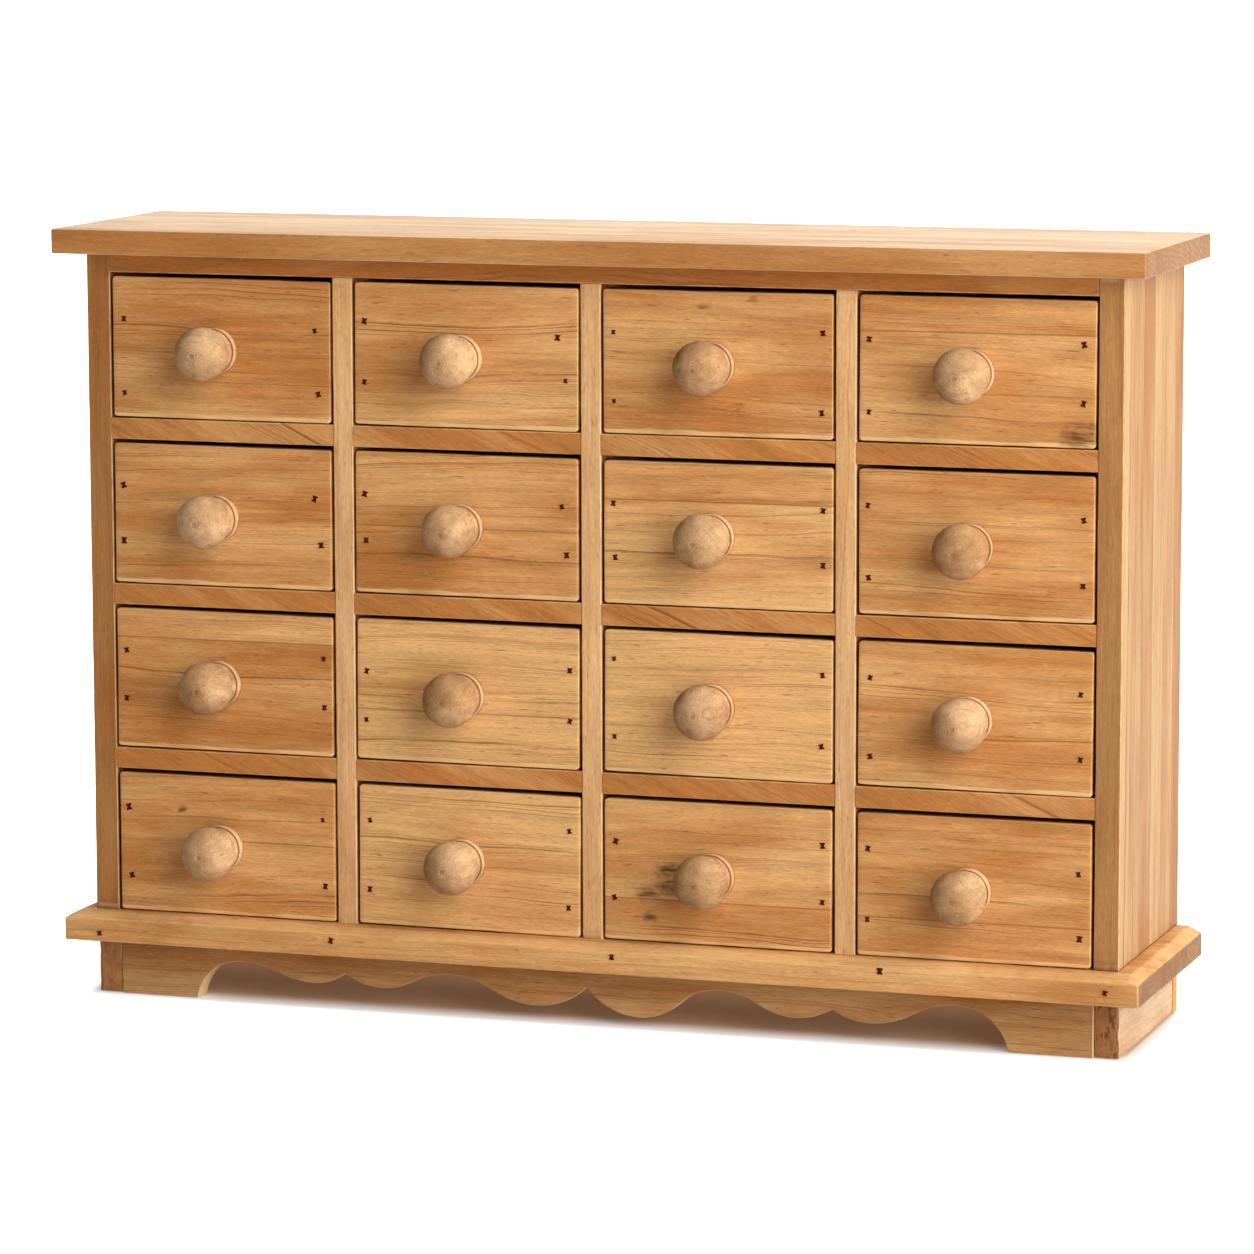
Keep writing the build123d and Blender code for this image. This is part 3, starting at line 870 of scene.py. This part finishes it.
def knobMaterial(kind):
    look = knobLook
    wood = look["wood"]
    made, tree, shader = startMaterial(kind + "TurnedKnob")
    # the same coordinates on every knob, measured from the middle of its ball
    fromFirst = calcVector(tree, "SUBTRACT", objectVector(tree), ballMiddle("knob_r1_c1"))
    halfStep = (knobStep / 2, 1.0, knobDrop / 2)
    local = calcVector(tree, "WRAP", fromFirst, halfStep, tuple(-step for step in halfStep))
    chance = addNode(tree, "ShaderNodeTexWhiteNoise", noise_dimensions="3D")
    steps = calcVector(tree, "MULTIPLY", fromFirst, (1 / knobStep, 0.0, 1 / knobDrop))
    steps = calcVector(tree, "FLOOR", calcVector(tree, "ADD", steps, (0.5, 0.5, 0.5)))
    feed(tree, chance.inputs["Vector"], steps)
    log = calcVector(tree, "MULTIPLY_ADD", chance.outputs["Color"], look["logSpread"], look["logStart"])
    vector = turned(tree, calcVector(tree, "ADD", local, log), grainAlongY, (0.0, 0.0, 0.0))
    tone = calc(tree, "MULTIPLY_ADD", chance.outputs["Value"], look["toneSpread"], look["tones"][kind])
    figure = placeFigure(tree, wood, vector, tone)
    fleck = ramp(tree, cloud(tree, objectVector(tree), *look["fleckCloud"]), *look["fleck"])
    colour = stain(tree, fleck, figure["Color"], look["fleckColour"])
    mottle = ramp(tree, cloud(tree, objectVector(tree), *look["mottleCloud"]), *look["mottle"])
    colour = blendColour(tree, 1.0, colour, mottle, "MULTIPLY")
    # turning rings and the mark of the lathe centre on the end of the ball
    off = calcVector(tree, "LENGTH", calcVector(tree, "MULTIPLY", local, (1.0, 0.0, 1.0)))
    wobble = calc(tree, "MULTIPLY_ADD", cloud(tree, local, *look["ringCloud"]), look["ringWobble"], off)
    rings = calc(tree, "SINE", times(tree, wobble, 2 * math.pi / look["ringSpacing"]))
    rings = times(tree, ramp(tree, rings, *look["ringLine"]), ramp(tree, off, *look["ringFade"]))
    colour = stain(tree, rings, colour, wood["late"])
    colour = stain(tree, ramp(tree, off, *look["centreMark"]), colour, look["centreColour"])
    # the collar's rim, rubbed and with a painted highlight, and painted shade in the groove
    back = split(tree, local)["Y"]
    start, lip, foot = knobMake["groove"][0][0], knobMake["groove"][-1][0], knobMake["collar"][-1][0]
    edge = look["grooveEdge"]
    # painted shade in the groove
    groove = times(tree, ramp(tree, back, start - edge, start),
                   ramp(tree, back, lip, lip + edge, look["grooveShade"], 0.0))
    # the rim: rubbed, and painted pale as a highlight
    rimWearAndHighlight = times(tree, ramp(tree, back, *(lip + step for step in look["rimWearAndHighlight"])),
                ramp(tree, back, *(foot + step for step in look["rimFade"]), look["rimStrength"], 0.0))
    colour = stain(tree, rimWearAndHighlight, colour, wood["rubbed"])
    colour = stain(tree, groove, colour, look["grooveShadeColour"])
    # dirt and painted shade where the collar meets the drawer front
    seat = ramp(tree, back, *(foot + step for step in look["seat"]), 0.0, look["seatDirtAndShade"])
    colour = stain(tree, seat, colour, look["seatDirtAndShadeColour"])
    finishWood(tree, shader, colour, figure, wood, arris=0.0)
    return made


def drawRing(offset, scale):
    # one more ring, moved along the axis and made wider or narrower
    bpy.ops.mesh.extrude_edges_move(TRANSFORM_OT_translate={"value": (0.0, offset, 0.0)})
    bpy.ops.transform.resize(value=(scale, 1.0, scale))


def modelKnob():
    # the ball's centre is at the origin and its pole points forwards
    make = knobMake
    bpy.ops.object.select_all(action="DESELECT")
    bpy.ops.mesh.primitive_uv_sphere_add(segments=make["segments"], ring_count=make["rings"],
                                         radius=make["ball"], rotation=(math.pi / 2, 0.0, 0.0))
    piece = bpy.context.object
    settle(piece)
    pickPoints(piece, lambda spot: spot.y < 0)
    bpy.ops.transform.resize(value=(1.0, make["front"] / make["ball"], 1.0),
                             center_override=(0.0, 0.0, 0.0))
    behind, radius = math.sqrt(make["ball"] ** 2 - make["waist"] ** 2), make["waist"]
    bpy.ops.mesh.select_all(action="SELECT")
    bpy.ops.mesh.bisect(plane_co=(0.0, behind, 0.0), plane_no=(0.0, 1.0, 0.0), clear_outer=True)
    for nextBehind, nextRadius in make["neck"] + make["groove"] + make["collar"]:
        drawRing(nextBehind - behind, nextRadius / radius)
        behind, radius = nextBehind, nextRadius
    bpy.ops.mesh.edge_face_add()
    bpy.ops.mesh.select_all(action="SELECT")
    bpy.ops.mesh.normals_make_consistent(inside=False)
    leaveEdit()
    # the lathe centre's dimple, pressed in round the pole
    pickPoints(piece, lambda spot: spot.y < 0 and math.hypot(spot.x, spot.z) < 0.3 * mm)
    bpy.ops.transform.translate(value=(0.0, make["dimple"], 0.0), use_proportional_edit=True,
                                proportional_edit_falloff="SMOOTH", proportional_size=make["dimpleWidth"])
    leaveEdit()
    return piece


bareKnobs = {kind: knobMaterial(kind) for kind in knobLook["tones"]}
pattern = modelKnob()
draw = random.Random(knobMake["seed"])
for place in places:
    name = nameOf(place)
    piece = copyPiece(pattern, "turnedKnob_" + name)
    piece.location = ballMiddle("knob_" + name)
    piece.rotation_euler = (0.0, draw.uniform(0, 2 * math.pi), 0.0)
    settle(piece)
    smooth(piece, degrees=30)
    kind = next((kind for kind in ("middle", "warm") if place in knobLook[kind]), "pale")
    dress(piece, bareKnobs[kind])
    standFor(piece, "knob_" + name, "drawer_" + name)
dropPiece(pattern)
print("knobs done")

# top board: strips glued side by side, worn along its arrises
topMake = dict(spacing=6 * mm, inset=0.25 * mm, arris=1.0 * mm, wear=0.35 * mm,
               look=dict(wood=paleTop, turn=grainAlongX, place=(0.3, 0.21, -0.29), tone=0.4,
                         strips=38 * mm, spread=0.22,
                         # painted shade on the front edge; the ends darker as end grain and as painted shade
                         tintAndShadeByFacing=dict(Front=(0.64, 0.455, 0.25), Sideways=(0.41, 0.31, 0.225)),
                         endRings=dict(spacing=2.8 * mm, flatten=(0.0, 0.4, 1.2))))
low, high = boxOf("top_board")
margin = sideMargin(topMake["inset"])
upper = high - margin - Vector((0.0, 0.0, topMake["inset"]))
piece = cutBlock("wornTop", low + margin, upper, topMake["spacing"])
easeArrises(piece, topMake["arris"])
wearDown(piece, handWear, topMake["wear"])
smooth(piece, flatFaces=True)
dress(piece, boardMaterial("waxedTop", **topMake["look"]))
standFor(piece, "top_board", carcassBody)

# base board: its shown top edges slope, and five nails go into its front
baseMake = dict(spacing=6 * mm, inset=0.25 * mm, slope=3.0 * mm, edgeReach=2 * mm, arris=0.9 * mm,
                wear=0.45 * mm, seed=41,
                nails=((0.035, 0.30), (0.26, 0.55), (0.525, 0.60), (0.77, 0.70), (0.97, 0.45)),
                look=dict(wood=waxedPine, turn=grainAlongX, place=(0.7, 0.05, 0.06), tone=0.40,
                          # the ends darker as end grain and as painted shade
                          tintAndShadeByFacing=dict(Sideways=(0.39, 0.385, 0.40)),
                          endRings=dict(spacing=3.2 * mm, flatten=(0.0, 0.8, 1.1))))
low, high = boxOf("base_board")


def onShownEdge(spot):
    # on the board's top, at its front or at an end
    reach = baseMake["edgeReach"]
    atEnd = not low.x + reach < spot.x < high.x - reach
    return spot.z > high.z - mm and (atEnd or spot.y < low.y + reach)


margin = sideMargin(baseMake["inset"])
piece = cutBlock("wornBase", low + margin, high - margin, baseMake["spacing"])
pickPoints(piece, onShownEdge)
bpy.ops.transform.translate(value=(0.0, 0.0, -baseMake["slope"]))
leaveEdit()
easeArrises(piece, baseMake["arris"], degrees=20)
wearDown(piece, handWear, baseMake["wear"])
smooth(piece, degrees=15, flatFaces=True)
dress(piece, boardMaterial("waxedBase", **baseMake["look"]))
standFor(piece, "base_board", carcassBody)
draw = random.Random(baseMake["seed"])
spots = []
for along, up in baseMake["nails"]:
    spots.append((low.x + along * (high.x - low.x), low.y, low.z + up * (high.z - low.z)))
setNails("cutNails_base", spots, carcassBody, draw)
print("top and base done")

# plinth sides: rough-sawn ends that show at the front
plinthMake = dict(spacing=2.4 * mm, inset=0.25 * mm, footGap=0.3 * mm, arris=0.7 * mm, wear=0.3 * mm,
                  saw=1.2 * mm, sawnReach=5 * mm, sawnFrom=2 * mm)
# fronts darker as end grain and as painted shade; the right plinth's side has painted shade
plinthLooks = {
    "left_plinth": dict(wood=paleDividers, turn=grainAlongY, place=(0.1, 0.2, 0.06), tone=0.5, sawn=0.3,
                        tintAndShadeByFacing=dict(Front=(0.55, 0.44, 0.36))),
    "right_plinth": dict(wood=paleTop, turn=grainAlongY, place=(0.5, -0.19, 0.05), tone=1.0, sawn=0.75,
                         tintAndShadeByFacing=dict(Front=(0.49, 0.345, 0.225), Sideways=(0.77, 0.83, 0.88))),
}
for node, look in plinthLooks.items():
    low, high = boxOf(node)
    margin = sideMargin(plinthMake["inset"])
    clear = Vector((0.0, plinthMake["saw"] / 2, plinthMake["footGap"]))
    piece = cutBlock("sawn_" + node, low + margin + clear, high - margin, plinthMake["spacing"])
    easeArrises(piece, plinthMake["arris"])
    wearDown(piece, handWear, plinthMake["wear"])
    sawnEnd = piece.vertex_groups.new(name="sawnEnd")
    for point in piece.data.vertices:
        nearFront = point.co.y < low.y + plinthMake["sawnReach"]
        if nearFront and point.co.z > low.z + plinthMake["sawnFrom"]:
            sawnEnd.add([point.index], 1.0, "ADD")
    wearDown(piece, roughSaw, plinthMake["saw"], "sawnEnd")
    smooth(piece)
    dress(piece, boardMaterial("waxed_" + node, **look))
    standFor(piece, node, carcassBody)
print("plinth sides done")

# posts, dividers and apron: the CAD boards with worn faces and arrises
uprightCuts = dict(spacing=5 * mm, axes=(1, 2))
wornMake = {
    "left_side": dict(uprightCuts, wear=0.35 * mm),
    "right_side": dict(uprightCuts, wear=0.35 * mm),
    "dividers": dict(uprightCuts, wear=0.3 * mm),
    "front_apron": dict(arris=0.6 * mm, wear=0.4 * mm),
}
wornBoards = {}
for node, make in wornMake.items():
    piece = copyNode(node, "worn_" + node)
    if "arris" in make:
        easeArrises(piece, make["arris"])
    if "spacing" in make:
        cutThrough(piece, *boxOf(node), make["spacing"], make["axes"])
    wearDown(piece, handWear, make["wear"], level=1.0)  # inwards only
    smooth(piece, flatFaces=True)
    standFor(piece, node, carcassBody)
    wornBoards[node] = piece
print("posts, dividers and apron worn")

# heights where the sides meet the base and the top, given a line of painted shade
sideSeats = (boxOf("base_board")[1].z, boxOf("top_board")[0].z)
# front tints: painted shade on the posts, the rail under the top and the apron under the base
carcassLooks = {
    # boards marked for the gaps get painted shade in the gaps round the drawers
    "left_side": dict(wood=paleSides, turn=grainUp, place=(0.9, 0.37, 0.31), tone=0.5, strips=24 * mm,
                      spread=0.3, tintAndShadeByFacing=dict(Front=(0.90, 0.72, 0.50)), gapShading=True, seats=sideSeats),
    "right_side": dict(wood=paleSides, turn=grainUp, place=(0.2, 0.3, -0.2), tone=0.4, strips=21 * mm,
                       spread=0.5, tintAndShadeByFacing=dict(Front=(0.81, 0.64, 0.50)), gapShading=True, seats=sideSeats),
    "carcass_top": dict(wood=waxedPine, turn=grainAlongX, place=(0.6, 0.1, -0.31), tone=1.0,
                        tintAndShadeByFacing=dict(Front=(0.80, 0.76, 0.69)), gapShading=True),
    "dividers": dict(wood=paleDividers, turn=grainUp, place=(0.4, 0.12, 0.05), tone=0.35, gapShading=True),
    "shelves": dict(wood=waxedPine, turn=grainSlanted, place=(0.15, 0.33, -0.06), tone=0.95, gapShading=True),
    "front_apron": dict(wood=waxedPine, turn=grainAlongFront, place=(0.2, 0.08, 0.03), tone=0.6,
                        tintAndShadeByFacing=dict(Front=(0.765, 0.825, 0.905)), bareCutAndLit=0.7),
    "back_plinth": dict(wood=waxedPine, turn=grainAlongFront, place=(0.9, 0.07, -0.02), tone=0.5),
}
boxLook = dict(wood=barePine, turn=grainAlongY, place=(0.2, 0.13, 0.04), tone=0.4)
for node, look in carcassLooks.items():
    dress(wornBoards.get(node, frame["nodes"][node]), boardMaterial("waxed_" + node, **look))
boxMaterial = boardMaterial("bareDrawerBox", **boxLook)
for place in places:
    dress(frame["nodes"]["drawer_box_" + nameOf(place)], boxMaterial)
print("carcass dressed")

# back panel: a thin sheet set a little below the edges of its rebates, held by brads
panelMake = dict(spacing=8 * mm, sunk=0.6 * mm, wave=0.2 * mm,
                 look=dict(wood=barePine, turn=grainAlongFront, place=(0.4, 0.3, 0.24), tone=0.5,
                           strips=130 * mm, spread=0.1))
# brads: how many along and up the panel, and how far from its ends, rims and sides
bradMake = dict(across=7, up=4, ends=12 * mm, rims=5 * mm, sides=3 * mm)
low, high = boxOf("back_panel")
high.y -= panelMake["sunk"]
piece = cutBlock("thinBack", low, high, panelMake["spacing"])
wearDown(piece, longWave, panelMake["wave"])
smooth(piece)
dress(piece, boardMaterial("bareBack", **panelMake["look"]))
standFor(piece, "back_panel", carcassBody)
spots = []
for step in range(bradMake["across"]):
    share = step / (bradMake["across"] - 1)
    along = low.x + bradMake["ends"] + share * (high.x - low.x - 2 * bradMake["ends"])
    spots += [(along, high.y, low.z + bradMake["rims"]), (along, high.y, high.z - bradMake["rims"])]
for step in range(bradMake["up"]):
    height = low.z + (step + 1) / (bradMake["up"] + 1) * (high.z - low.z)
    spots += [(low.x + bradMake["sides"], high.y, height), (high.x - bradMake["sides"], high.y, height)]
setNails("backBrads", spots, carcassBody, draw, outward=1)
dropPiece(nailPattern)
print("back brads done")

# stage: a pale floor that keeps the shadow, painted as warm brown shade deep under the cabinet,
# and painted white beside and away from it; the room is dimmer on the left
stageMake = dict(size=120.0, below=0.1 * mm, roughness=0.9, white=(1.0, 1.0, 1.0, 1.0),
                 floor=(0.62, 0.60, 0.58, 1.0),
                 floorUnderShade=(0.5, 0.36, 0.24, 1.0), shadow=(1.0, 0.50, 0.27, 1.0), edge=1.5 * mm,
                 shadowFrom=-20 * mm, tintTo=-44 * mm, shadowTo=-56 * mm,
                 deepLift=0.12, backLift=0.12, openLift=0.38, nearLift=0.95, farLift=1.0,
                 nearReach=14 * mm, farReach=600 * mm,
                 ambientSpan=(-0.15, 1.0), ambient=(0.02, 0.40), roomTint=(1.0, 0.76, 0.54, 1.0))


def whiteForViewer(tree):
    # 1 where the camera, a reflection or a glass looks straight at the backdrop
    path = addNode(tree, "ShaderNodeLightPath")
    seen = calc(tree, "ADD", path.outputs["Is Camera Ray"], path.outputs["Is Glossy Ray"])
    seen = calc(tree, "ADD", seen, path.outputs["Is Transmission Ray"])
    seen.node.use_clamp = True
    return seen


def floorMaterial():
    make = stageMake
    made, tree, shader = startMaterial("paleFloor")
    shader.inputs["Roughness"].default_value = make["roughness"]
    # how far a spot on the floor lies outside the cabinet's footprint
    footLow, footHigh = boxOf("left_plinth")[0], boxOf("right_plinth")[1]
    spot = calcVector(tree, "SUBTRACT", objectVector(tree), (footLow + footHigh) / 2)
    spot = calcVector(tree, "SUBTRACT", calcVector(tree, "ABSOLUTE", spot), (footHigh - footLow) / 2)
    spot = calcVector(tree, "MULTIPLY", calcVector(tree, "MAXIMUM", spot, (0, 0, 0)), (1.0, 1.0, 0.0))
    away = calcVector(tree, "LENGTH", spot)
    depth = split(tree, objectVector(tree))["Y"]
    # emission for the camera: painted shadow under the cabinet and painted white over the cast shadow beside
    # it
    forward = ramp(tree, depth, make["shadowFrom"], make["shadowTo"])
    lift = calc(tree, "MULTIPLY_ADD", forward, make["openLift"], make["deepLift"])
    for more in (ramp(tree, depth, 0.0, footHigh.y, 0.0, make["backLift"]),
                 ramp(tree, away, 0.0, make["nearReach"], 0.0, make["nearLift"]),
                 ramp(tree, away, make["nearReach"], make["farReach"], 0.0, make["farLift"])):
        lift = calc(tree, "ADD", lift, more)
    # painted warm shadow: brown floor and emission under the cabinet, clearing to its front and outside
    clear = ramp(tree, depth, make["shadowFrom"], make["tintTo"])
    clear = calc(tree, "MAXIMUM", clear, ramp(tree, away, 0.0, make["edge"]))
    feed(tree, shader.inputs["Base Color"], blendColour(tree, clear, make["floorUnderShade"], make["floor"]))
    feed(tree, shader.inputs["Emission Color"], blendColour(tree, clear, make["shadow"], make["white"]))
    feed(tree, shader.inputs["Emission Strength"], times(tree, whiteForViewer(tree), lift))
    return made


def softRoom():
    make = stageMake
    made = bpy.data.worlds.new("softRoom")
    made.use_nodes = True
    tree = made.node_tree
    tree.nodes.clear()
    room = addNode(tree, "ShaderNodeBackground")
    sideways = split(tree, addNode(tree, "ShaderNodeTexCoord").outputs["Generated"])["X"]
    dim = ramp(tree, sideways, *make["ambientSpan"], *make["ambient"], False)
    seen = whiteForViewer(tree)
    feed(tree, room.inputs["Color"], blendColour(tree, seen, make["roomTint"], make["white"]))
    feed(tree, room.inputs["Strength"], calc(tree, "MAXIMUM", seen, dim))
    feed(tree, addNode(tree, "ShaderNodeOutputWorld").inputs["Surface"], room.outputs[0])
    return made


bpy.ops.object.select_all(action="DESELECT")
bpy.ops.mesh.primitive_plane_add(size=stageMake["size"], location=(0.0, 0.0, -stageMake["below"]))
floor = bpy.context.object
floor.name = "paleFloor"
dress(floor, floorMaterial())
bpy.context.scene.world = softRoom()

lampMake = {
    "keyRight": dict(at=(2.15, -1.3, 1.1), size=2.8, power=140.0, colour=(0.985, 1.0, 1.015)),
    "highBehind": dict(at=(0.1, 1.3, 1.9), size=1.4, power=27.0, colour=(1.0, 1.0, 1.0)),
    "lowLeft": dict(at=(-2.2, 0.8, 0.9), size=1.4, power=22.0, colour=(1.0, 1.0, 1.0)),
}
lampTarget = Vector((0.0, 0.0, 0.18))
for name, make in lampMake.items():
    bpy.ops.object.light_add(type="AREA", location=make["at"])
    lamp = bpy.context.object
    lamp.name = name
    lamp.data.size = make["size"]
    lamp.data.energy = make["power"]
    lamp.data.color = make["colour"]
    lamp.rotation_euler = (lampTarget - Vector(make["at"])).to_track_quat("-Z", "Y").to_euler()

cameraMake = dict(at=(0.8328, -2.4862, 0.5559), turn=18.465, down=8.136, roll=-0.153, sensor=36.0,
                  focalPixels=5670.8, framePixels=1254, farEnd=400.0)
bpy.ops.object.camera_add(location=cameraMake["at"])
camera = bpy.context.object
look = Euler((math.radians(90 - cameraMake["down"]), 0.0, math.radians(cameraMake["turn"]))).to_matrix()
camera.rotation_euler = (look @ Matrix.Rotation(math.radians(cameraMake["roll"]), 3, "Z")).to_euler()
camera.data.sensor_width = cameraMake["sensor"]
camera.data.lens = cameraMake["sensor"] * cameraMake["focalPixels"] / cameraMake["framePixels"]
camera.data.clip_end = cameraMake["farEnd"]
bpy.context.scene.camera = camera
bpy.context.scene.view_settings.view_transform = "Standard"
print("stage, lamps and camera set")
